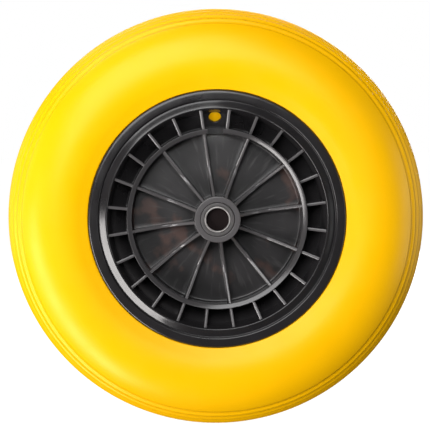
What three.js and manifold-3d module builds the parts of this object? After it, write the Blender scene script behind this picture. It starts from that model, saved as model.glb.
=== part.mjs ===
// A flat-free hand-truck wheel: a polyurethane foam tyre on a ribbed plastic rim moulded in two halves,
// running on a caged roller bearing round a steel axle sleeve.
// Millimetres, +Z up. The axle is the Y axis, and the valve side faces -Y. The origin is the wheel's centre.

import * as THREE from 'three'
import { mergeVertices } from 'three/addons/utils/BufferGeometryUtils.js'
import Module from 'manifold-3d'

const wasm = await Module()
wasm.setup()

// ---- driving dimensions ----
const frontSide = -1
const backSide = 1
const gap = 0.3                  // left between two pieces that touch

const tyreRadius = 195
const sectionRadius = 47.5       // half height of the tyre's oval section
const sectionHalfWidth = 44
const grooveCount = 11
const groovePitch = THREE.MathUtils.degToRad(8.85)   // round the section, from groove to groove
const grooveDepth = 1.4

const hubHalfLength = 44
const hubBoreRadius = 15.6
const hubRadiusBehindWeb = 20.5
const bossRadius = 21
const webFront = 17              // depths are measured from the wheel's mid-plane
const webBack = 12.5
const ringInner = 78.9
const ringOuter = 83.3
const ringTop = 36.2
const ringTopFall = 2            // the ring's top edge falls towards the hub
const barrelInner = 97.9         // inner radius of the barrel where the pocket floor meets it
const pocketFloorInner = 15.5    // depth of the pocket floor beside the ring
const pocketFloorOuter = 25      // and beside the barrel
const wall = 4
const draft = 0.7                // how far a standing wall leans out towards its foot
const ringFootRound = 2.5
const bossFootRound = 3
const wellRadius = 83.2
const wellEndRadius = 102.4
const lipRadius = 101.1
const lipDepth = 39.2
const valleyRadius = 108.9
const valleyDepth = 35.7
const flangeCentre = new THREE.Vector2(111.6, 30.4)
const flangeRound = 7.65
const flangeEdgeDepth = 28.4
const channelCentre = new THREE.Vector2(112, 30.2)    // of the round inside the flange, which holds the foam
const channelRound = 3.6

const innerRibs = 12
const outerRibs = 24
const ribThickness = 2.8
const outerRibThickness = 2.6
const ribRoot = 2                // how far a rib reaches into what it stands on
const saddleRadius = 50          // where an inner rib's top edge is lowest
const saddleDepth = 21.2

const valveHoleRadius = 5.75
const valveAtRadius = 94.6
const notchAngle = THREE.MathUtils.degToRad(10)
const notchFloor = 17.3

const sleeveBore = 10.5          // for a 20 mm axle
const sleeveRadius = 11.9
const sleeveHalfLength = 45
const sleeveChamfer = 0.3
const rollerCount = 12
const rollerRadius = 1.4
const rollerPitchRadius = 13.4
const rollerHalfLength = 35
const rollerChamfer = 0.3
const windowClearance = 0.15
const shellInner = 14.9
const shellOuter = 15.5
const shellHalfLength = 40.9
const cageInner = 12.6
const cageOuter = 14.2
const cageEndInner = 12.2
const cageEndOuter = 14.6
const cageHalfLength = 40.7
const cageEndLength = 3
const dustRingInner = 12.2
const dustRingOuter = 15.4
const dustRingFace = 44.8
const dustRingChamfer = 0.8

const largeSegments = 48
const smallSegments = 24
const rollerSegments = 12
const fullTurn = 2 * Math.PI

// ---- materials ----
const foam = new THREE.MeshStandardMaterial({ color: 0xf2cb12, roughness: 0.6, metalness: 0 })
const blackPlastic = new THREE.MeshStandardMaterial({ color: 0x232224, roughness: 0.35, metalness: 0 })
const nylon = new THREE.MeshStandardMaterial({ color: 0x2c2b2d, roughness: 0.5, metalness: 0 })
const steel = new THREE.MeshStandardMaterial({ color: 0xa9a7a4, roughness: 0.3, metalness: 1 })

// ---- helpers ----
const point = (radius, depth) => new THREE.Vector2(radius, depth)

// Points on an arc, from one angle to another in degrees.
function arc(centre, radius, from, to, steps) {
  return Array.from({ length: steps + 1 }, (_, step) => {
    const angle = THREE.MathUtils.degToRad(from + (to - from) * step / steps)
    return point(centre.x + radius * Math.cos(angle), centre.y + radius * Math.sin(angle))
  })
}

// A closed outline of (radius, depth) turned once round the axle. Its points may run either way.
function turned(outline, segments, side = backSide) {
  const placed = outline.map(({ x, y }) => point(x, side * y))
  if (THREE.ShapeUtils.area(placed) < 0) placed.reverse()
  return new THREE.LatheGeometry([...placed, placed[0]], segments)
}

// A flat rib from a (radius, depth) outline, standing on a plane through the axle.
// Angles run clockwise from the top, seen from the front.
function radialRib(outline, thickness, angle, side) {
  const shape = new THREE.Shape(outline.map(({ x, y }) => point(x, side * y)))
  const rib = new THREE.ExtrudeGeometry(shape, { depth: thickness, bevelEnabled: false })
  rib.translate(0, 0, -thickness / 2)
  return rib.rotateY(angle - Math.PI / 2)
}

function solid(geometry) {
  const bare = geometry.clone()
  bare.deleteAttribute('normal')
  bare.deleteAttribute('uv')
  const merged = mergeVertices(bare)
  const mesh = new wasm.Mesh({
    numProp: 3,
    vertProperties: new Float32Array(merged.attributes.position.array),
    triVerts: new Uint32Array(merged.index.array),
  })
  return new wasm.Manifold(mesh)
}

function geometryOf(body) {
  const { vertProperties, triVerts } = body.getMesh()
  const geometry = new THREE.BufferGeometry()
  geometry.setAttribute('position', new THREE.BufferAttribute(vertProperties, 3))
  geometry.setIndex(new THREE.BufferAttribute(triVerts, 1))
  geometry.computeVertexNormals()
  return geometry
}

function add(name, geometry, material) {
  const mesh = new THREE.Mesh(geometry, material)
  mesh.name = name
  wheel.add(mesh)
  return mesh
}

// ---- rim ----
const pocketStart = ringOuter + draft
const floorSlope = (pocketFloorOuter - pocketFloorInner) / (barrelInner - pocketStart)
const slopeAngle = Math.atan(floorSlope)

// Depth of the pocket floor, which slopes up from the ring to the barrel, and of its hidden side.
const pocketFloor = radius => pocketFloorInner + (radius - pocketStart) * floorSlope
const floorBehind = radius => pocketFloor(radius) - wall / Math.cos(slopeAngle)

// The channel that holds the foam, from the well out to the round inside the flange.
// The rim follows it exactly, and the tyre keeps clear of it.
function channel(clearance = 0) {
  const corners = [
    point(wellRadius, floorBehind(wellRadius)),
    point(wellEndRadius, floorBehind(wellEndRadius)),
    point(105, 29),
    point(105.8, 31.4),
    point(108.4, 32.4),
  ]
  return [
    ...corners.map(({ x, y }) => point(x + clearance, y - clearance)),
    ...arc(channelCentre, channelRound - clearance, 90, 0, 2),
  ]
}

// One half's section, from its hub bore out along the joint, round the flange and back over the front.
function rimSection() {
  const ringFoot = point(ringInner - draft - ringFootRound, webFront + ringFootRound)
  const bossFoot = point(bossRadius + draft + bossFootRound, webFront + bossFootRound)
  return [
    point(hubBoreRadius, gap / 2),
    point(hubRadiusBehindWeb, gap / 2),
    point(hubRadiusBehindWeb, webBack),
    point(ringInner, webBack),
    point(ringInner, gap / 2),
    point(wellRadius, gap / 2),
    ...channel(),
    point(116.3, flangeEdgeDepth),
    point(118.7, flangeEdgeDepth),
    ...arc(flangeCentre, flangeRound, -10, 96, 4),
    point(valleyRadius, valleyDepth),
    point(lipRadius + 0.7, lipDepth),
    point(lipRadius, lipDepth - 0.8),
    point(barrelInner, pocketFloorOuter),
    point(pocketStart, pocketFloorInner),
    point(ringOuter, ringTop - 0.7),
    point(ringOuter - 0.4, ringTop),
    point(ringInner + 0.4, ringTop - ringTopFall),
    point(ringInner, ringTop - ringTopFall - 0.6),
    ...arc(ringFoot, ringFootRound, 0, -90, 2),
    ...arc(bossFoot, bossFootRound, -90, -180, 2),
    point(bossRadius, hubHalfLength - 0.8),
    point(bossRadius - 0.7, hubHalfLength),
    point(hubBoreRadius + 0.5, hubHalfLength),
    point(hubBoreRadius, hubHalfLength - 0.5),
  ]
}

// The inner ribs sweep down from the boss to a low saddle and rise again to the ring.
function innerRibOutline() {
  const foot = webFront - ribRoot
  const ringEnd = point(80.5, 34.1)
  const bossEnd = point(20, 43)
  const saddle = point(saddleRadius, saddleDepth)
  const toSaddle = new THREE.QuadraticBezierCurve(ringEnd, point(53, saddleDepth), saddle)
  const toBoss = new THREE.QuadraticBezierCurve(saddle, point(37, saddleDepth), bossEnd)
  return [
    point(bossEnd.x, foot),
    point(ringEnd.x, foot),
    ...toSaddle.getPoints(3),
    ...toBoss.getPoints(4).slice(1),
  ]
}

// The outer ribs join the ring to the barrel, over the sloping pocket floor.
function outerRibOutline() {
  const start = ringOuter - 0.8
  const end = lipRadius + 1.5
  const footEnd = barrelInner + 1.6
  return [
    point(start, pocketFloor(start) - ribRoot),
    point(footEnd, pocketFloor(footEnd) - ribRoot),
    point(end, 36.8),
    point(end, 37.4),
    point(start, 33),
  ]
}

// Ribs stand on both sides of the valve pocket, so the first is half an outer pitch from the top.
function ribs(side) {
  const outerPitch = fullTurn / outerRibs
  const inner = Array.from({ length: innerRibs }, (_, rib) =>
    radialRib(innerRibOutline(), ribThickness, rib * fullTurn / innerRibs - outerPitch / 2, side))
  const outer = Array.from({ length: outerRibs }, (_, rib) =>
    radialRib(outerRibOutline(), outerRibThickness, (rib - 0.5) * outerPitch, side))
  return [...inner, ...outer]
}

function rimHalf(side) {
  const body = solid(turned(rimSection(), largeSegments, side))
  return ribs(side).reduce((whole, rib) => whole.add(solid(rib)), body)
}

// The valve hole stands square to the pocket floor, and the ring is notched in front of it.
function valveCuts() {
  const holeLength = 18
  const hole = new THREE.CylinderGeometry(valveHoleRadius, valveHoleRadius, holeLength, smallSegments)
  hole.rotateX(slopeAngle)
  hole.translate(0, frontSide * (pocketFloor(valveAtRadius) - wall / 2), valveAtRadius)
  const notchWidth = 2 * ringOuter * Math.sin(notchAngle / 2)
  const notchHeight = 24
  const notchReach = ringOuter - ringInner + 4
  const notch = new THREE.BoxGeometry(notchWidth, notchHeight, notchReach)
  notch.translate(0, frontSide * (notchFloor + notchHeight / 2), (ringInner + ringOuter) / 2)
  return solid(hole).add(solid(notch))
}

// ---- tyre ----
const shoulder = grooveCount / 2 * groovePitch        // where the tread ends, round the section

// A point on the tyre's oval section, at an angle from the middle of the tread.
function onSection(angle, inset = 0) {
  return point(
    tyreRadius - sectionRadius + (sectionRadius - inset) * Math.cos(angle),
    (sectionHalfWidth - inset) * Math.sin(angle),
  )
}

// The front half of the outside: down the sidewall from the tread to the narrow gap beside the flange.
function sidewall() {
  const steps = 5
  const end = THREE.MathUtils.degToRad(116)
  const curve = Array.from({ length: steps }, (_, step) =>
    onSection(shoulder + (end - shoulder) * (step + 1) / steps))
  return [...curve, point(122.2, 35.6), point(120.2, 32), point(119.6, flangeEdgeDepth - gap)]
}

// The front half of the inside, which fills the channel between the flanges.
function bead() {
  return [point(116.1, flangeEdgeDepth - gap), ...channel(gap).reverse()]
}

// Rounded ribs run round the tread, here a ridge and a groove bottom for each.
function tread() {
  const grooves = Array.from({ length: grooveCount }, (_, groove) => {
    const angle = (groove + 0.5) * groovePitch - shoulder
    return [onSection(angle, grooveDepth), onSection(angle + groovePitch / 2)]
  })
  return [onSection(-shoulder), ...grooves.flat()]
}

function tyreSection() {
  const half = [...sidewall(), ...bead()]
  const mirrored = half.map(({ x, y }) => point(x, -y)).reverse()
  return [...tread(), ...half, ...mirrored]
}

// ---- bearing ----
function sleeve() {
  const chamferStart = sleeveHalfLength - sleeveChamfer
  return turned([
    point(sleeveBore, -sleeveHalfLength),
    point(sleeveRadius - sleeveChamfer, -sleeveHalfLength),
    point(sleeveRadius, -chamferStart),
    point(sleeveRadius, chamferStart),
    point(sleeveRadius - sleeveChamfer, sleeveHalfLength),
    point(sleeveBore, sleeveHalfLength),
  ], smallSegments)
}

function bearingShell() {
  return turned([
    point(shellInner, -shellHalfLength),
    point(shellOuter, -shellHalfLength),
    point(shellOuter, shellHalfLength),
    point(shellInner, shellHalfLength),
  ], largeSegments)
}

function dustRing(side) {
  return turned([
    point(dustRingInner, shellHalfLength + gap),
    point(dustRingOuter, shellHalfLength + gap),
    point(dustRingOuter, dustRingFace - dustRingChamfer),
    point(dustRingOuter - dustRingChamfer, dustRingFace),
    point(dustRingInner + dustRingChamfer / 2, dustRingFace),
    point(dustRingInner, dustRingFace - dustRingChamfer / 2),
  ], smallSegments, side)
}

const rollerAngles = Array.from({ length: rollerCount }, (_, roller) => roller * fullTurn / rollerCount)

// A thin tube with thicker ends, and a window for each roller.
function cage() {
  const endStart = cageHalfLength - cageEndLength
  const half = [
    point(cageOuter, endStart),
    point(cageEndOuter, endStart),
    point(cageEndOuter, cageHalfLength),
    point(cageEndInner, cageHalfLength),
    point(cageEndInner, endStart),
    point(cageInner, endStart),
  ]
  const mirrored = half.map(({ x, y }) => point(x, -y)).reverse()
  const width = 2 * (rollerRadius + windowClearance)
  const length = 2 * (rollerHalfLength + windowClearance)
  const reach = 4
  return rollerAngles.reduce((body, angle) => {
    const window = new THREE.BoxGeometry(width, length, reach)
    window.translate(0, 0, rollerPitchRadius)
    return body.subtract(solid(window.rotateY(angle)))
  }, solid(turned([...half, ...mirrored], smallSegments)))
}

function roller() {
  const chamferStart = rollerHalfLength - rollerChamfer
  return new THREE.LatheGeometry([
    point(0, -rollerHalfLength),
    point(rollerRadius - rollerChamfer, -rollerHalfLength),
    point(rollerRadius, -chamferStart),
    point(rollerRadius, chamferStart),
    point(rollerRadius - rollerChamfer, rollerHalfLength),
    point(0, rollerHalfLength),
  ], rollerSegments)
}

// ---- assembly ----
const wheel = new THREE.Group()
add('tyre', turned(tyreSection(), largeSegments), foam)
add('rim_front', geometryOf(rimHalf(frontSide).subtract(valveCuts())), blackPlastic)
add('rim_back', geometryOf(rimHalf(backSide)), blackPlastic)
add('axle_sleeve', sleeve(), steel)
add('bearing_shell', bearingShell(), steel)
add('roller_cage', geometryOf(cage()), nylon)
add('dust_ring_front', dustRing(frontSide), nylon)
add('dust_ring_back', dustRing(backSide), nylon)

rollerAngles.forEach((angle, index) => {
  const mesh = add(`roller_${String(index + 1).padStart(2, '0')}`, roller(), steel)
  mesh.position.set(rollerPitchRadius * Math.sin(angle), 0, rollerPitchRadius * Math.cos(angle))
})

export default wheel
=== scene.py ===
"""The looks of a flat-free hand-truck wheel: a foam tyre on a ribbed plastic rim, with its bearing.

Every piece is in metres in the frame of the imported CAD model: the axle is the Y axis, the valve side
faces -Y and +Z is up. Outlines are (radius, depth) in millimetres, where depth is the distance from
the wheel's mid-plane, and angles run clockwise from the top, seen from the front.
"""

import math

import bmesh
import bpy
import numpy as np
from mathutils import Matrix, Vector


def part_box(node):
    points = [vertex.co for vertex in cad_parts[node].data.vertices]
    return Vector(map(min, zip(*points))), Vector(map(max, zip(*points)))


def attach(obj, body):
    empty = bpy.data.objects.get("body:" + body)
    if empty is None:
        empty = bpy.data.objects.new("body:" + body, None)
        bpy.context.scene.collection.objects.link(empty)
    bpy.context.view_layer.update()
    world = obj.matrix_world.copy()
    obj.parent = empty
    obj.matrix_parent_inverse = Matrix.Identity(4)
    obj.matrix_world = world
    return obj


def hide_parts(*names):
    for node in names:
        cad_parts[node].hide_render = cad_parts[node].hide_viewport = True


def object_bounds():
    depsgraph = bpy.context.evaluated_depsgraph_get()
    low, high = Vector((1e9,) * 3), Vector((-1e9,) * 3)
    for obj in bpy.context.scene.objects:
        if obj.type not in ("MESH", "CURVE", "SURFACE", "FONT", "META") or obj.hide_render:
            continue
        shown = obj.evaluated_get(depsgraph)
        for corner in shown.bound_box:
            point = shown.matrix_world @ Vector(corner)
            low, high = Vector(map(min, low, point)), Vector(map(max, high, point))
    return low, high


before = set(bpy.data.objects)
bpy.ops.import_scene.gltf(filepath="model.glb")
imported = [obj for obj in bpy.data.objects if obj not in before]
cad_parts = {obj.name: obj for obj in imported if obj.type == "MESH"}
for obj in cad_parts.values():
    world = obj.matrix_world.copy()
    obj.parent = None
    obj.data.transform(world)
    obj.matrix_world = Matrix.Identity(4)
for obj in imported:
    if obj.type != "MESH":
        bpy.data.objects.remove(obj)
cad_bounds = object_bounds()

MM = 0.001
FRONT = -1
BACK = 1
FULL_TURN = 2 * math.pi


# ---- sizes, from the frame where it has them ----
def radius_of(node):
    """A round node's outer radius, in millimetres."""
    return (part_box(node)[1].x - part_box(node)[0].x) / 2 / MM


def depth_of(node):
    """How far a node reaches from the mid-plane, in millimetres."""
    low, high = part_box(node)
    return max(abs(low.y), abs(high.y)) / MM


TYRE_RADIUS = radius_of("tyre")
TYRE_HALF_WIDTH = depth_of("tyre")
FLANGE_RADIUS = radius_of("rim_front") - 0.4     # it looks a shade smaller than the CAD flange
HUB_HALF_LENGTH = depth_of("rim_front")
SLEEVE_RADIUS = radius_of("axle_sleeve")
SLEEVE_HALF_LENGTH = depth_of("axle_sleeve")
SLEEVE_BORE = 10.5          # radius, like the other bores here
DUST_RING_RADIUS = radius_of("dust_ring_front")
DUST_RING_FACE = depth_of("dust_ring_front")
DUST_RING_START = -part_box("dust_ring_front")[1].y / MM
DUST_RING_BORE = 12.2

GAP = 0.3                   # left between two pieces that touch
SECTION_RADIUS = 47.5
GROOVES = 11
GROOVE_PITCH = math.radians(8.85)
GROOVE_DEPTH = 1.3
BEAD_CENTRE = (120.2, 35.5)
BEAD_ROUND = 1.3
VALVE_SWELL = 4.8           # how far the foam stands up in the valve hole

HUB_BORE = 15.6
BOSS_RADIUS = 21
WEB_FRONT = 17
WEB_BACK = 12.5
RING_INNER = 78.9
RING_OUTER = 83.3
RING_TOP = 36.2
RING_FALL = 2
BARREL_INNER = 97.9
FLOOR_INNER = 15.5
FLOOR_OUTER = 25
DRAFT = 0.7
WELL_RADIUS = 83.2
WELL_END = 102.4
LIP_RADIUS = 101.1
LIP_DEPTH = 39.2
VALLEY_RADIUS = 108.9
VALLEY_DEPTH = 35.7
FLANGE_ROUND = 2.2
FLANGE_CENTRE = (FLANGE_RADIUS - FLANGE_ROUND, 35.7)
FLANGE_EDGE = 28.4
CHANNEL_CENTRE = (112, 30.2)
CHANNEL_ROUND = 3.6

RIB_PLACES = 24
FIRST_RIB = math.radians(-7.5)
RIB_HALF_THICKNESS = 1.4
RIB_FILLET = 0.8
RIB_CROWN = 0.37
VALVE_HOLE_RADIUS = 5.75
VALVE_AT = 94.6
NOTCH_FLOOR = 17.3

# How a rim half's grid is laid out. The shares say where its columns stand on the way across a pocket.
LONGEST_ROW_STEP = 2.4
POCKET_SHARES = (0.25, 0.5, 0.75)
NOTCH_STARTS = 0.08
NOTCHED_POCKET_SHARES = (0.04, NOTCH_STARTS, 0.1, 0.3, 0.5, 0.7, 0.9, 1 - NOTCH_STARTS, 0.96)
RING_SHEEN = 0.4             # share of the painted sheen on the ribs' tops


# ---- materials ----
class Nodes:
    """A material's node tree, with short calls for the nodes that the materials here share."""

    def __init__(self, name):
        self.material = bpy.data.materials.new(name)
        self.material.use_nodes = True
        self.tree = self.material.node_tree
        self.shader = self.tree.nodes["Principled BSDF"]
        self.place = self.tree.nodes.new("ShaderNodeTexCoord").outputs["Object"]

    def link(self, source, target):
        self.tree.links.new(source, target)

    def set(self, **sockets):
        for name, value in sockets.items():
            self.shader.inputs[name.replace("_", " ")].default_value = value

    def noise(self, scale, detail=3, seed=0.0):
        """Noise at a number of blotches to the metre."""
        return self.noise_at(self.place, scale, detail, seed)

    def noise_at(self, place, scale, detail=2, seed=0.0):
        node = self.tree.nodes.new("ShaderNodeTexNoise")
        node.noise_dimensions = "4D"
        node.inputs["W"].default_value = seed
        node.inputs["Scale"].default_value = scale
        node.inputs["Detail"].default_value = detail
        self.link(place, node.inputs["Vector"])
        return node.outputs["Fac"]

    def vector_math(self, operation, first, second=None):
        node = self.tree.nodes.new("ShaderNodeVectorMath")
        node.operation = operation
        self.link(first, node.inputs[0])
        if second is not None:
            node.inputs[1].default_value = second
        return node

    def from_axle(self):
        """The vector from the axle out to the place."""
        return self.vector_math("MULTIPLY", self.place, (1, 0, 1)).outputs["Vector"]

    def rings(self, scale):
        """Noise that changes only with the distance from the axle and along it, as turning marks do."""
        parts = self.tree.nodes.new("ShaderNodeSeparateXYZ")
        self.link(self.place, parts.inputs[0])
        spot = self.tree.nodes.new("ShaderNodeCombineXYZ")
        self.link(self.vector_math("LENGTH", self.from_axle()).outputs["Value"], spot.inputs["X"])
        self.link(parts.outputs["Y"], spot.inputs["Y"])
        return self.noise_at(spot.outputs[0], scale)

    def streaks(self, around, outward):
        """Noise drawn out into streaks away from the axle, finer around it than outward."""
        out = self.from_axle()
        direction = self.vector_math("NORMALIZE", out).outputs["Vector"]
        spot = self.tree.nodes.new("ShaderNodeVectorMath")
        spot.operation = "MULTIPLY_ADD"
        self.link(out, spot.inputs[0])
        spot.inputs[1].default_value = (outward / around, 0, outward / around)
        self.link(direction, spot.inputs[2])
        return self.noise_at(spot.outputs["Vector"], around, 3)

    def attribute(self, name):
        node = self.tree.nodes.new("ShaderNodeAttribute")
        node.attribute_name = name
        return node.outputs["Fac"]

    def ramp(self, source, stops):
        """Colours or greys between stops of (position, colour)."""
        node = self.tree.nodes.new("ShaderNodeValToRGB")
        elements = node.color_ramp.elements
        while len(elements) < len(stops):
            elements.new(1)
        for element, (position, colour) in zip(elements, stops):
            element.position = position
            element.color = (*colour, 1) if isinstance(colour, tuple) else (colour, colour, colour, 1)
        self.link(source, node.inputs["Fac"])
        return node.outputs["Color"]

    def blend(self, fac, first, second, mode="MIX"):
        node = self.tree.nodes.new("ShaderNodeMix")
        node.data_type = "RGBA"
        node.blend_type = mode
        for value, socket in ((fac, node.inputs[0]), (first, node.inputs[6]), (second, node.inputs[7])):
            if isinstance(value, bpy.types.NodeSocket):
                self.link(value, socket)
            else:
                socket.default_value = value
        return node.outputs[2]

    def bump(self, height, strength, distance, under=None):
        node = self.tree.nodes.new("ShaderNodeBump")
        node.inputs["Strength"].default_value = strength
        node.inputs["Distance"].default_value = distance
        self.link(height, node.inputs["Height"])
        if under:
            self.link(under, node.inputs["Normal"])
        return node.outputs["Normal"]


def foam_material():
    """The satin skin of yellow polyurethane foam, slightly mottled and finely pitted."""
    nodes = Nodes("foam_skin")
    mottle = nodes.ramp(nodes.noise(14), [(0.3, (0.90, 0.47, 0.0)), (0.7, (0.93, 0.49, 0.0))])
    specks = nodes.ramp(nodes.noise(900, 1), [(0.68, 0.0), (0.78, 0.35)])
    nodes.link(nodes.blend(specks, mottle, (0.80, 0.36, 0.001, 1)), nodes.shader.inputs["Base Color"])
    nodes.link(nodes.ramp(nodes.noise(45), [(0.3, 0.31), (0.7, 0.40)]), nodes.shader.inputs["Roughness"])
    skin = nodes.bump(nodes.noise(420, 4), 0.05, 0.0004)
    nodes.link(nodes.bump(nodes.noise(28, 2), 0.12, 0.0012, skin), nodes.shader.inputs["Normal"])
    nodes.set(Specular_IOR_Level=0.36, Specular_Tint=(1, 0.9, 0.5, 1))
    return nodes.material


def rim_material():
    """Semi-gloss black polypropylene: flow marks from the hub, brown patches of painted reflection, scuffs
    and a painted sheen on the rib tops.
    """
    nodes = Nodes("rim_plastic")
    web = nodes.attribute("stained")
    tone = nodes.ramp(nodes.noise(30), [(0.3, (0.013, 0.0122, 0.013)), (0.7, (0.019, 0.018, 0.019))])
    haze_stops = [(0.35, (0.006, 0.0055, 0.006)), (0.7, (0.020, 0.0185, 0.0195))]
    tone = nodes.blend(web, tone, nodes.ramp(nodes.noise(26, 4, seed=8.0), haze_stops))
    # Reddish-brown patches on the web: painted reflection of brownish surroundings.
    blotches = nodes.ramp(nodes.noise(27, 4, seed=1.3), [(0.56, 0.0), (0.62, 0.62)])
    blotches = nodes.blend(1.0, blotches, web, "MULTIPLY")
    tone = nodes.blend(blotches, tone, (0.072, 0.037, 0.029, 1))
    streaks = nodes.ramp(nodes.streaks(14, 40), [(0.55, 0.0), (0.75, 0.6)])
    streaks = nodes.blend(1.0, streaks, web, "MULTIPLY")
    tone = nodes.blend(streaks, tone, (0.055, 0.052, 0.053, 1))
    # Rib tops, ring top and boss face get a lighter tone, painted sheen for the light these front-facing
    # tops catch; their lower roughness is real gloss.
    sheen_mask = nodes.attribute("rubbed")
    nodes.link(nodes.blend(sheen_mask, tone, (0.08, 0.076, 0.078, 1)), nodes.shader.inputs["Base Color"])
    gloss = nodes.ramp(nodes.noise(55, 5), [(0.3, 0.14), (0.7, 0.21)])
    gloss = nodes.blend(web, gloss, (0.36, 0.36, 0.36, 1))
    gloss = nodes.blend(streaks, gloss, (0.48, 0.48, 0.48, 1))
    nodes.link(nodes.blend(sheen_mask, gloss, (0.18, 0.18, 0.18, 1)), nodes.shader.inputs["Roughness"])
    grain = nodes.bump(nodes.noise(1500, 2), 0.04, 0.0001)
    nodes.link(nodes.bump(nodes.noise(34, 3), 0.10, 0.0008, grain), nodes.shader.inputs["Normal"])
    return nodes.material


def nylon_material():
    """Grey-black nylon, evenly matt from its mould."""
    nodes = Nodes("nylon")
    tone = nodes.ramp(nodes.noise(160), [(0.3, (0.050, 0.047, 0.047)), (0.7, (0.066, 0.062, 0.062))])
    nodes.link(tone, nodes.shader.inputs["Base Color"])
    nodes.link(nodes.ramp(nodes.noise(240), [(0.3, 0.38), (0.7, 0.5)]), nodes.shader.inputs["Roughness"])
    nodes.link(nodes.bump(nodes.noise(1800, 2), 0.1, 0.0001), nodes.shader.inputs["Normal"])
    return nodes.material


def steel_material():
    """Oiled turned steel, with fine marks round the axle."""
    nodes = Nodes("turned_steel")
    marks = nodes.rings(2600)
    blotches = nodes.noise(120)
    tone = nodes.ramp(blotches, [(0.35, (0.36, 0.34, 0.33)), (0.65, (0.45, 0.43, 0.42))])
    nodes.link(tone, nodes.shader.inputs["Base Color"])
    nodes.link(nodes.ramp(marks, [(0.3, 0.36), (0.7, 0.5)]), nodes.shader.inputs["Roughness"])
    nodes.link(nodes.bump(marks, 0.25, 0.00005), nodes.shader.inputs["Normal"])
    nodes.set(Metallic=1.0)
    return nodes.material


# ---- outlines ----
def arc(centre, radius, start, end, steps):
    """Points on an arc, from one angle to another in degrees."""
    angles = [math.radians(start + (end - start) * step / steps) for step in range(steps + 1)]
    return [(centre[0] + radius * math.cos(a), centre[1] + radius * math.sin(a)) for a in angles]


def softened(corners, steps=4):
    """A closed outline whose (radius, depth, rounding) corners start to bend that far from the corner."""
    points = []
    for index, (*here, rounding) in enumerate(corners):
        here = Vector(here)
        if not rounding:
            points.append(here)
            continue
        before = Vector(corners[index - 1][:2]) - here
        after = Vector(corners[(index + 1) % len(corners)][:2]) - here
        start = here + before.normalized() * min(rounding, before.length * 0.49)
        end = here + after.normalized() * min(rounding, after.length * 0.49)
        for step in range(steps + 1):
            t = step / steps
            points.append(start * (1 - t) ** 2 + here * 2 * t * (1 - t) + end * t * t)
    return [tuple(p) for p in points]


def divided(points, longest):
    """The same closed outline, with more points where two are further apart than the longest step."""
    out = []
    for index, here in enumerate(points):
        after = points[(index + 1) % len(points)]
        length = math.dist(here, after)
        pieces = max(1, math.ceil(length / longest))
        for step in range(pieces):
            t = step / pieces
            out.append((here[0] + (after[0] - here[0]) * t, here[1] + (after[1] - here[1]) * t))
    return out


# ---- meshes ----
def grid_mesh(name, rows, material, body, side, replaced, marks=None):
    """A closed ring of quads from an array [row, column] of (radius, depth, angle).

    Each of the marks is an array that says, for the material, how strong that mark is at each point.
    """
    radius, depth, angle = rows[..., 0] * MM, rows[..., 1] * MM, rows[..., 2]
    places = np.stack([radius * np.sin(angle), side * depth, radius * np.cos(angle)], axis=-1)
    row_count, column_count = radius.shape
    index = np.arange(row_count * column_count).reshape(row_count, column_count)
    across = np.roll(index, -1, axis=0)
    quads = np.stack([index, np.roll(index, -1, 1), np.roll(across, -1, 1), across], axis=-1)
    mesh = bpy.data.meshes.new(name)
    mesh.from_pydata(places.reshape(-1, 3).tolist(), [], quads.reshape(-1, 4).tolist())
    for mark, strength in (marks or {}).items():
        layer = mesh.attributes.new(mark, "FLOAT", "POINT")
        layer.data.foreach_set("value", strength.reshape(-1).astype(np.float32))
    mesh.materials.append(material)
    return finished(name, mesh, body, replaced)


def finished(name, mesh, body, replaced):
    """Turns the faces outwards, smooths all but the true corners, and puts the piece on its body."""
    shell = bmesh.new()
    shell.from_mesh(mesh)
    bmesh.ops.recalc_face_normals(shell, faces=shell.faces)
    shell.to_mesh(mesh)
    shell.free()
    mesh.shade_smooth()
    mesh.set_sharp_from_angle(angle=math.radians(38))
    piece = bpy.data.objects.new(name, mesh)
    bpy.context.scene.collection.objects.link(piece)
    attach(piece, body)
    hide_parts(replaced)
    return piece


def turned(name, outline, material, body, side, replaced):
    """A closed outline turned once round the axle."""
    segments = 192
    angles = np.arange(segments) * FULL_TURN / segments
    rows = np.empty((len(outline), segments, 3))
    rows[..., :2] = np.array(outline)[:, None, :]
    rows[..., 2] = angles
    return grid_mesh(name, rows, material, body, side, replaced)


# ---- rim ----
FLOOR_START = RING_OUTER + DRAFT
FLOOR_SLOPE = (FLOOR_OUTER - FLOOR_INNER) / (BARREL_INNER - FLOOR_START)
SHEET = 4.0
SHEET_ALONG_AXLE = SHEET / math.cos(math.atan(FLOOR_SLOPE))


def pocket_floor(radius):
    return FLOOR_INNER + (radius - FLOOR_START) * FLOOR_SLOPE


def under_floor(radius):
    """Depth of the side of the pocket floor that the foam lies against."""
    return pocket_floor(radius) - SHEET_ALONG_AXLE


def hidden_outline():
    """The half's joint and inside, from its hub bore out to the flange's edge."""
    hub_outside = BOSS_RADIUS - 0.5
    return [
        (HUB_BORE, GAP / 2, 0),
        (hub_outside, GAP / 2, 0.3),
        (hub_outside, WEB_BACK, 1.5),
        (RING_INNER, WEB_BACK, 1.5),
        (RING_INNER, GAP / 2, 0.3),
        (WELL_RADIUS, GAP / 2, 0.3),
        (WELL_RADIUS, under_floor(WELL_RADIUS), 1),
        (WELL_END, under_floor(WELL_END), 1.2),
        (105, 29, 1),
        (105.8, 31.4, 1),
        (108.4, 32.4, 1),
        *((r, d, 0) for r, d in arc(CHANNEL_CENTRE, CHANNEL_ROUND, 90, 0, 6)),
        (116.3, FLANGE_EDGE, 0.5),
        (FLANGE_RADIUS - 0.6, FLANGE_EDGE, 0.3),
    ]


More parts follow.
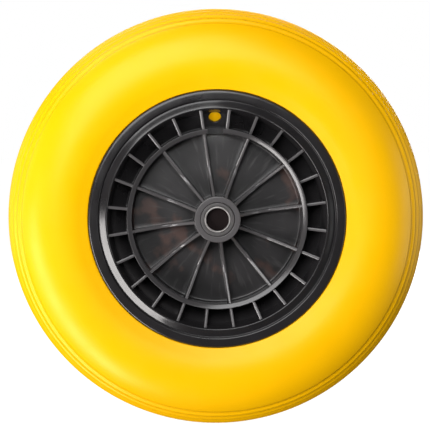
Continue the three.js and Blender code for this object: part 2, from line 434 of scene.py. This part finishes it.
def shown_outline():
    """The half's face, from the flange's edge in over the lip, the pockets, the ring and the web."""
    flange_top = FLANGE_CENTRE[1] + FLANGE_ROUND
    return [
        *((r, d, 0) for r, d in arc(FLANGE_CENTRE, FLANGE_ROUND, -20, 86, 14)),
        (VALLEY_RADIUS + 1.4, flange_top, 0.8),
        (VALLEY_RADIUS, VALLEY_DEPTH, 0.5),
        (LIP_RADIUS + 1, LIP_DEPTH, 0.7),
        (LIP_RADIUS, LIP_DEPTH - 0.9, 0.5),
        (BARREL_INNER, FLOOR_OUTER, 1.8),
        (FLOOR_START, FLOOR_INNER, 1.8),
        (RING_OUTER, RING_TOP - 0.4, 0.4),
        (RING_OUTER - 0.4, RING_TOP, 0.3),
        (RING_INNER + 0.3, RING_TOP - RING_FALL, 0.3),
        (RING_INNER, RING_TOP - RING_FALL - 0.4, 0.4),
        (RING_INNER - DRAFT, WEB_FRONT, 1.6),
        (BOSS_RADIUS + DRAFT, WEB_FRONT, 0.4),
        (BOSS_RADIUS, HUB_HALF_LENGTH, 0.7),
        (HUB_BORE + 0.2, HUB_HALF_LENGTH, 0.5),
        (HUB_BORE, HUB_HALF_LENGTH - 4, 0),
    ]


def curve_depth(radius, start, control, end):
    """Depth at a radius on the quadratic curve through two (radius, depth) ends and its control point."""
    a = start[0] - 2 * control[0] + end[0]
    b = 2 * (control[0] - start[0])
    c = start[0] - radius
    t = -c / b if abs(a) < 1e-6 else (-b + math.copysign(1, b) * math.sqrt(b * b - 4 * a * c)) / (2 * a)
    return start[1] * (1 - t) ** 2 + control[1] * 2 * t * (1 - t) + end[1] * t * t


def inner_rib_top(radius):
    """The inner ribs sweep down from the boss to a low saddle and rise again to the ring."""
    boss_end = (20, 43)
    saddle = (50, 21.2)
    ring_end = (80.5, 34.1)
    if radius < saddle[0]:
        return curve_depth(max(radius, boss_end[0]), boss_end, (37, saddle[1]), saddle)
    return curve_depth(min(radius, ring_end[0]), saddle, (53, saddle[1]), ring_end)


def outer_rib_top(radius):
    """The outer ribs rise from the ring to just under the lip."""
    start = (RING_OUTER - 0.8, 33)
    end = (LIP_RADIUS + 1.5, 37.4)
    return start[1] + (radius - start[0]) * (end[1] - start[1]) / (end[0] - start[0])


def rib_columns():
    """One side of a rib's cross-section, from its foot to its middle.

    Each column is (distance from the middle, share of the foot fillet, share of full height, share of
    the crown taken off).
    """
    foot = [math.radians(a) for a in (0, 30, 60, 90)]
    crown = ((1, 1), (0.62, 0.31), (0.48, 0.05), (0.3, 0))
    lean = 0.15
    top = RIB_HALF_THICKNESS - lean
    columns = [(RIB_HALF_THICKNESS + RIB_FILLET * (1 - math.sin(a)), 1 - math.cos(a), 0, 0) for a in foot]
    columns += [(top * share, 0, 1, drop) for share, drop in crown]
    return columns


def rib_height(column, full):
    """How far a column of the rib's cross-section stands over its base, where the rib is this high."""
    _, fillet, height, crown = column
    scale = np.clip(full / (RIB_FILLET + RIB_CROWN), 0, 1)
    return fillet * RIB_FILLET * scale + height * full - crown * RIB_CROWN * scale


def rib_angle(place):
    return FIRST_RIB + place * FULL_TURN / RIB_PLACES


def has_inner_rib(place):
    return place % 2 == 0


def rib_reach(distance, radius, place):
    """The angle that a distance from a rib's middle takes up, never wider than where the rib starts."""
    return distance / np.maximum(radius, BOSS_RADIUS if has_inner_rib(place) else RING_OUTER)


class Zones:
    """Which rows of a rim half lie where, for the ribs, the notch, the web's marks and the painted sheen on
    the tops.
    """

    def __init__(self, radius, depth):
        past_edge = (radius > FLANGE_RADIUS - 1) & (depth > FLANGE_EDGE)
        shown = np.arange(len(radius)) >= np.argmax(past_edge)
        self.inner_ribs = shown & (radius < RING_INNER + 1) & (radius > BOSS_RADIUS - 0.3)
        self.outer_ribs = shown & (radius > RING_OUTER - 0.3) & (radius < LIP_RADIUS + 0.2)
        self.ring = shown & (radius > RING_INNER - DRAFT) & (radius < FLOOR_START) & (depth > NOTCH_FLOOR)
        self.web = shown & (radius > BOSS_RADIUS) & (radius < RING_INNER) & (depth < WEB_FRONT + 2)
        ring_top = shown & (radius > RING_INNER) & (radius < RING_OUTER) & (depth > RING_TOP - RING_FALL - 1)
        boss_face = shown & (radius < BOSS_RADIUS + 0.1) & (depth > HUB_HALF_LENGTH - 0.9)
        # Painted sheen: part of it on the ring top, all of it on the boss face.
        self.wear = RING_SHEEN * ring_top + boss_face


class Columns:
    """The columns of a rim half's grid, from foot to foot of each rib and across each pocket."""

    def __init__(self):
        self.places = []
        self.rubbed = []
        self.stained = []

    def add(self, radius, depth, angle, rubbed, stained):
        self.places.append(np.stack([radius, depth, angle], axis=-1))
        self.rubbed.append(rubbed)
        self.stained.append(stained)

    def grid(self):
        return np.stack(self.places, axis=1)

    def marks(self):
        return {"rubbed": np.array(self.rubbed).T, "stained": np.array(self.stained).T}


def rim_half(name, side, material):
    """One moulded half: its section turned round the axle, with the ribs raised out of its face."""
    rows = divided(softened([*hidden_outline(), *shown_outline()]), LONGEST_ROW_STEP)
    radius = np.array([r for r, _ in rows])
    depth = np.array([d for _, d in rows])
    zones = Zones(radius, depth)
    inner_top = np.array([inner_rib_top(r) for r in radius])
    outer_top = np.array([outer_rib_top(r) for r in radius])
    inner_full = zones.inner_ribs * np.maximum(inner_top - depth, 0)
    outer_full = zones.outer_ribs * np.maximum(outer_top - depth, 0)
    cut_depth = np.where(zones.ring, NOTCH_FLOOR, depth)
    cut_radius = radius.copy()
    cut_radius[zones.ring] = np.linspace(*radius[zones.ring][[0, -1]], zones.ring.sum())

    half = rib_columns()
    foot = half[0][0]
    both_sides = [(-1, c) for c in half] + [(0, (0, 0, 1, 0))] + [(1, c) for c in reversed(half)]
    columns = Columns()
    for place in range(RIB_PLACES):
        full = outer_full + has_inner_rib(place) * inner_full
        for sign, column in both_sides:
            rib_depth = depth + rib_height(column, full)
            angle = rib_angle(place) + sign * rib_reach(column[0], radius, place)
            # Rib tops take the painted sheen in full; elsewhere the ring top and boss face take their share.
            rubbed = np.where((column[2] > 0) & (full > 0.5), 1, zones.wear)
            on_web = zones.web & (column[2] == 0 or not has_inner_rib(place))
            columns.add(radius, rib_depth, angle, rubbed, on_web)
        left = rib_angle(place) + rib_reach(foot, radius, place)
        right = rib_angle(place + 1) - rib_reach(foot, radius, place + 1)
        notched = place == 0 and side == FRONT
        for share in NOTCHED_POCKET_SHARES if notched else POCKET_SHARES:
            angle = left + (right - left) * share
            if notched and NOTCH_STARTS < share < 1 - NOTCH_STARTS:
                columns.add(cut_radius, cut_depth, angle, zones.wear * ~zones.ring, zones.web)
            else:
                columns.add(radius, depth, angle, zones.wear, zones.web)

    replaced = name.replace("_moulding", "")
    return grid_mesh(name, columns.grid(), material, "wheel", side, replaced, columns.marks())


def cut_valve_hole(piece):
    """Bores the valve hole square to the pocket floor, with a small countersink."""
    tilt = math.atan(FLOOR_SLOPE)
    segments = 64
    countersink = VALVE_HOLE_RADIUS + 0.5
    profile = [(VALVE_HOLE_RADIUS, -9), (VALVE_HOLE_RADIUS, 1.5), (countersink, 2), (countersink, 6)]
    shell = bmesh.new()
    loops = []
    for radius, height in profile:
        turns = [s * FULL_TURN / segments for s in range(segments)]
        places = [Vector((radius * math.cos(a), radius * math.sin(a), height)) * MM for a in turns]
        loops.append([shell.verts.new(place) for place in places])
    for lower, upper in zip(loops, loops[1:]):
        for s in range(segments):
            t = (s + 1) % segments
            shell.faces.new((lower[s], lower[t], upper[t], upper[s]))
    shell.faces.new(list(reversed(loops[0])))
    shell.faces.new(loops[-1])
    cutter_mesh = bpy.data.meshes.new("valve_cutter")
    shell.to_mesh(cutter_mesh)
    shell.free()
    normal = Vector((0, -math.cos(tilt), -math.sin(tilt)))
    foot = Vector((0, -(pocket_floor(VALVE_AT) - SHEET / 2), VALVE_AT)) * MM
    cutter_mesh.transform(Matrix.Translation(foot) @ normal.to_track_quat("Z", "Y").to_matrix().to_4x4())
    cutter = bpy.data.objects.new("valve_cutter", cutter_mesh)
    bpy.context.scene.collection.objects.link(cutter)
    cut = piece.modifiers.new("valve_hole", "BOOLEAN")
    cut.operation = "DIFFERENCE"
    cut.solver = "EXACT"
    cut.object = cutter
    applied = bpy.data.meshes.new_from_object(piece.evaluated_get(bpy.context.evaluated_depsgraph_get()))
    piece.modifiers.clear()
    piece.data = applied
    bpy.data.objects.remove(cutter)


# ---- tyre ----
SHOULDER = GROOVES / 2 * GROOVE_PITCH


def on_section(angle, inset=0.0):
    """A point on the tyre's oval section, at an angle from the middle of the tread."""
    centre = TYRE_RADIUS - SECTION_RADIUS
    return (
        centre + (SECTION_RADIUS - inset) * math.cos(angle),
        (TYRE_HALF_WIDTH - inset) * math.sin(angle),
    )


def tread_inset(angle):
    """How deep the tread is at an angle: round ribs with round grooves between them."""
    if abs(angle) > SHOULDER:
        return 0.0
    across = (angle + SHOULDER) / GROOVE_PITCH
    return GROOVE_DEPTH * (1 - math.cos(2 * math.pi * across)) / 2


def tyre_outline():
    """The whole section, once round: from mid-tread down one side, through the rim and up the other side."""
    end = math.radians(116)
    steps = 180
    angles = [end * step / steps for step in range(steps + 1)]
    outside = [on_section(angle, tread_inset(angle)) for angle in angles]
    inside = [
        *arc(BEAD_CENTRE, BEAD_ROUND, 100, 190, 4),
        (118.85, FLANGE_EDGE - GAP),
        (116.1, FLANGE_EDGE - GAP),
        *arc(CHANNEL_CENTRE, CHANNEL_ROUND - GAP, 0, 90, 6),
        (108.7, 32.1),
        (106.1, 31.1),
        (105.3, 28.7),
        *((r, under_floor(r) - GAP) for r in np.linspace(WELL_END + 0.1, WELL_RADIUS + GAP, 16)),
    ]
    half = [*outside, *inside]
    return [*half, *((r, -d) for r, d in reversed(half[1:]))]


def tyre(material):
    """The foam tyre, a shade uneven as moulded foam is, and swelling a little into the valve hole."""
    outline = tyre_outline()
    segments = 360
    angles = np.arange(segments) * FULL_TURN / segments
    rows = np.empty((len(outline), segments, 3))
    rows[..., :2] = np.array(outline)[:, None, :]
    rows[..., 2] = angles
    radius, depth = rows[..., 0], rows[..., 1]
    free = np.clip((radius - FLANGE_RADIUS - 6) / 20, 0, 1)
    swell = 0.10 * np.sin(3 * angles + 0.8 + depth / 30) + 0.07 * np.sin(7 * angles + 2.1 - radius / 25)
    rows[..., 1] += free * swell * np.sign(depth)
    across = radius * np.sin(angles)
    from_hole = np.hypot(across, radius * np.cos(angles) - VALVE_AT)
    dome = np.clip(1 - (from_hole / (VALVE_HOLE_RADIUS - 0.1)) ** 2, 0, 1) ** 0.4
    rows[..., 1] -= (depth < 0) * VALVE_SWELL * dome
    return grid_mesh("tyre_foam", rows, material, "wheel", BACK, "tyre")


# ---- bearing ----
def dust_ring(name, side, material):
    outline = softened([
        (DUST_RING_BORE, DUST_RING_START, 0.2),
        (DUST_RING_RADIUS, DUST_RING_START, 0.2),
        (DUST_RING_RADIUS, DUST_RING_FACE, 0.8),
        (DUST_RING_BORE, DUST_RING_FACE, 0.25),
    ])
    return turned(f"{name}_moulding", outline, material, "wheel", side, name)


def sleeve(material):
    outline = softened([
        (SLEEVE_BORE, -SLEEVE_HALF_LENGTH, 0.35),
        (SLEEVE_RADIUS, -SLEEVE_HALF_LENGTH, 0.4),
        (SLEEVE_RADIUS, SLEEVE_HALF_LENGTH, 0.4),
        (SLEEVE_BORE, SLEEVE_HALF_LENGTH, 0.35),
    ])
    return turned("sleeve_tube", outline, material, "axle", BACK, "axle_sleeve")


# ---- studio ----
def light(name, azimuth, off_axis, distance, size, power, colour=(1, 1, 1)):
    """A softbox that faces the wheel, placed by its angle clockwise from the top and off the axle.

    Its size is (along the azimuth, towards the axle).
    """
    lamp = bpy.data.lights.new(name, "AREA")
    lamp.shape = "RECTANGLE"
    lamp.size, lamp.size_y = size
    lamp.energy = power
    lamp.color = colour
    turn = math.radians(azimuth)
    tilt = math.radians(off_axis)
    outward = Vector((math.sin(turn), 0, math.cos(turn)))
    along = Vector((math.cos(turn), 0, -math.sin(turn)))
    toward = outward * math.sin(tilt) - Vector((0, math.cos(tilt), 0))
    box = bpy.data.objects.new(name, lamp)
    box.location = toward * distance
    box.rotation_euler = Matrix((along, toward.cross(along), toward)).transposed().to_euler()
    box.visible_camera = False
    bpy.context.scene.collection.objects.link(box)


def studio():
    scene = bpy.context.scene
    scene.view_settings.view_transform = "Standard"
    world = bpy.data.worlds.new("studio")
    world.use_nodes = True
    scene.world = world
    tree = world.node_tree
    fill = tree.nodes["Background"]
    fill.inputs["Color"].default_value = (0.96, 0.98, 1, 1)
    fill.inputs["Strength"].default_value = 0.04
    white = tree.nodes.new("ShaderNodeBackground")
    white.inputs["Color"].default_value = (1, 1, 1, 1)
    path = tree.nodes.new("ShaderNodeLightPath")
    either = tree.nodes.new("ShaderNodeMixShader")
    tree.links.new(path.outputs["Is Camera Ray"], either.inputs["Fac"])
    tree.links.new(fill.outputs[0], either.inputs[1])
    tree.links.new(white.outputs[0], either.inputs[2])
    tree.links.new(either.outputs[0], tree.nodes["World Output"].inputs["Surface"])

    light("key_strip", 237, 56, 1.3, (1.25, 0.36), 19, (1, 0.965, 0.95))
    light("front_softbox", 338, 32, 0.9, (0.68, 0.68), 8.3)
    light("left_softbox", 277, 97, 0.9, (0.6, 0.6), 1.7)
    light("top_softbox", 332, 98, 1.3, (0.7, 0.6), 4.5)
    light("right_softbox", 92, 80, 1.5, (0.9, 0.9), 7)
    light("back_softbox", 30, 160, 1.9, (1.6, 1.6), 50)


def valve_snoot():
    """A narrow soft beam into the valve pocket, which the ring and the rim's lip keep in shadow."""
    valve = Vector((0, -FLOOR_OUTER, VALVE_AT)) * MM
    away = Vector((0.14, -0.96, -0.2)).normalized()
    beam = bpy.data.lights.new("valve_snoot", "SPOT")
    beam.energy = 44
    beam.shadow_soft_size = 0.02
    beam.spot_size = math.radians(1.6)
    beam.spot_blend = 0.5
    holder = bpy.data.objects.new("valve_snoot", beam)
    holder.location = valve + away
    holder.rotation_euler = away.to_track_quat("Z", "Y").to_euler()
    bpy.context.scene.collection.objects.link(holder)


def floor():
    """A pale floor under the tyre, which lets the low lights shine past it."""
    side = 14
    bottom = cad_bounds[0].z
    mesh = bpy.data.meshes.new("floor")
    corners = [(-side, -side, bottom), (side, -side, bottom), (side, side, bottom), (-side, side, bottom)]
    mesh.from_pydata(corners, [], [(0, 1, 2, 3)])
    nodes = Nodes("floor")
    nodes.set(Base_Color=(0.16, 0.16, 0.16, 1), Roughness=0.8, Specular_IOR_Level=0.0)
    nodes.set(Emission_Color=(1, 1, 1, 1), Emission_Strength=1.0)
    mesh.materials.append(nodes.material)
    plane = bpy.data.objects.new("floor", mesh)
    plane.visible_shadow = False
    plane.visible_glossy = False
    plane.visible_diffuse = False
    bpy.context.scene.collection.objects.link(plane)


def bore_cards():
    """Matt black cards just inside both ends of the bore, painted shade for the dark deep in it, so that the
    studio doesn't show through it.
    """
    mesh = bpy.data.meshes.new("bore_card")
    shell = bmesh.new()
    turn = Matrix.Rotation(math.pi / 2, 4, "X")
    bmesh.ops.create_circle(shell, cap_ends=True, segments=48, radius=(SLEEVE_BORE - 0.1) * MM, matrix=turn)
    shell.to_mesh(mesh)
    shell.free()
    nodes = Nodes("bore_card")
    nodes.set(Base_Color=(0.012, 0.009, 0.009, 1), Roughness=1.0, Specular_IOR_Level=0.0)
    mesh.materials.append(nodes.material)
    for side in (FRONT, BACK):
        card = bpy.data.objects.new("bore_card", mesh)
        card.location.y = side * (SLEEVE_HALF_LENGTH - 4) * MM
        bpy.context.scene.collection.objects.link(card)


def camera():
    """A long lens a little above the axle and to the left, leaning a shade clockwise."""
    distance = 1.5
    above = math.radians(3.1)
    left = math.radians(1.4)
    lean = math.radians(-1.2)
    view = bpy.data.cameras.new("camera")
    view.lens = 133.4
    view.sensor_width = 36
    view.clip_start = 0.05
    holder = bpy.data.objects.new("camera", view)
    away = Vector((-math.sin(left) * math.cos(above), -math.cos(left) * math.cos(above), math.sin(above)))
    aim = Vector((-1.2, 0, 1.9)) * MM
    holder.location = aim + away * distance
    facing = away.to_track_quat("Z", "Y")
    holder.rotation_euler = (facing.to_matrix() @ Matrix.Rotation(lean, 3, "Z")).to_euler()
    bpy.context.scene.collection.objects.link(holder)
    bpy.context.scene.camera = holder


camera()
studio()
valve_snoot()
floor()
bore_cards()

foam = foam_material()
rim_plastic = rim_material()
nylon = nylon_material()
steel = steel_material()

tyre(foam)
for name, side in (("rim_front_moulding", FRONT), ("rim_back_moulding", BACK)):
    half = rim_half(name, side, rim_plastic)
    if side == FRONT:
        cut_valve_hole(half)
sleeve(steel)
for name, side in (("dust_ring_front", FRONT), ("dust_ring_back", BACK)):
    dust_ring(name, side, nylon)

for name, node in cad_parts.items():
    finish = nylon if name == "roller_cage" else steel
    if name.startswith(("roller_", "bearing_shell")):
        for slot in node.material_slots:
            slot.material = finish
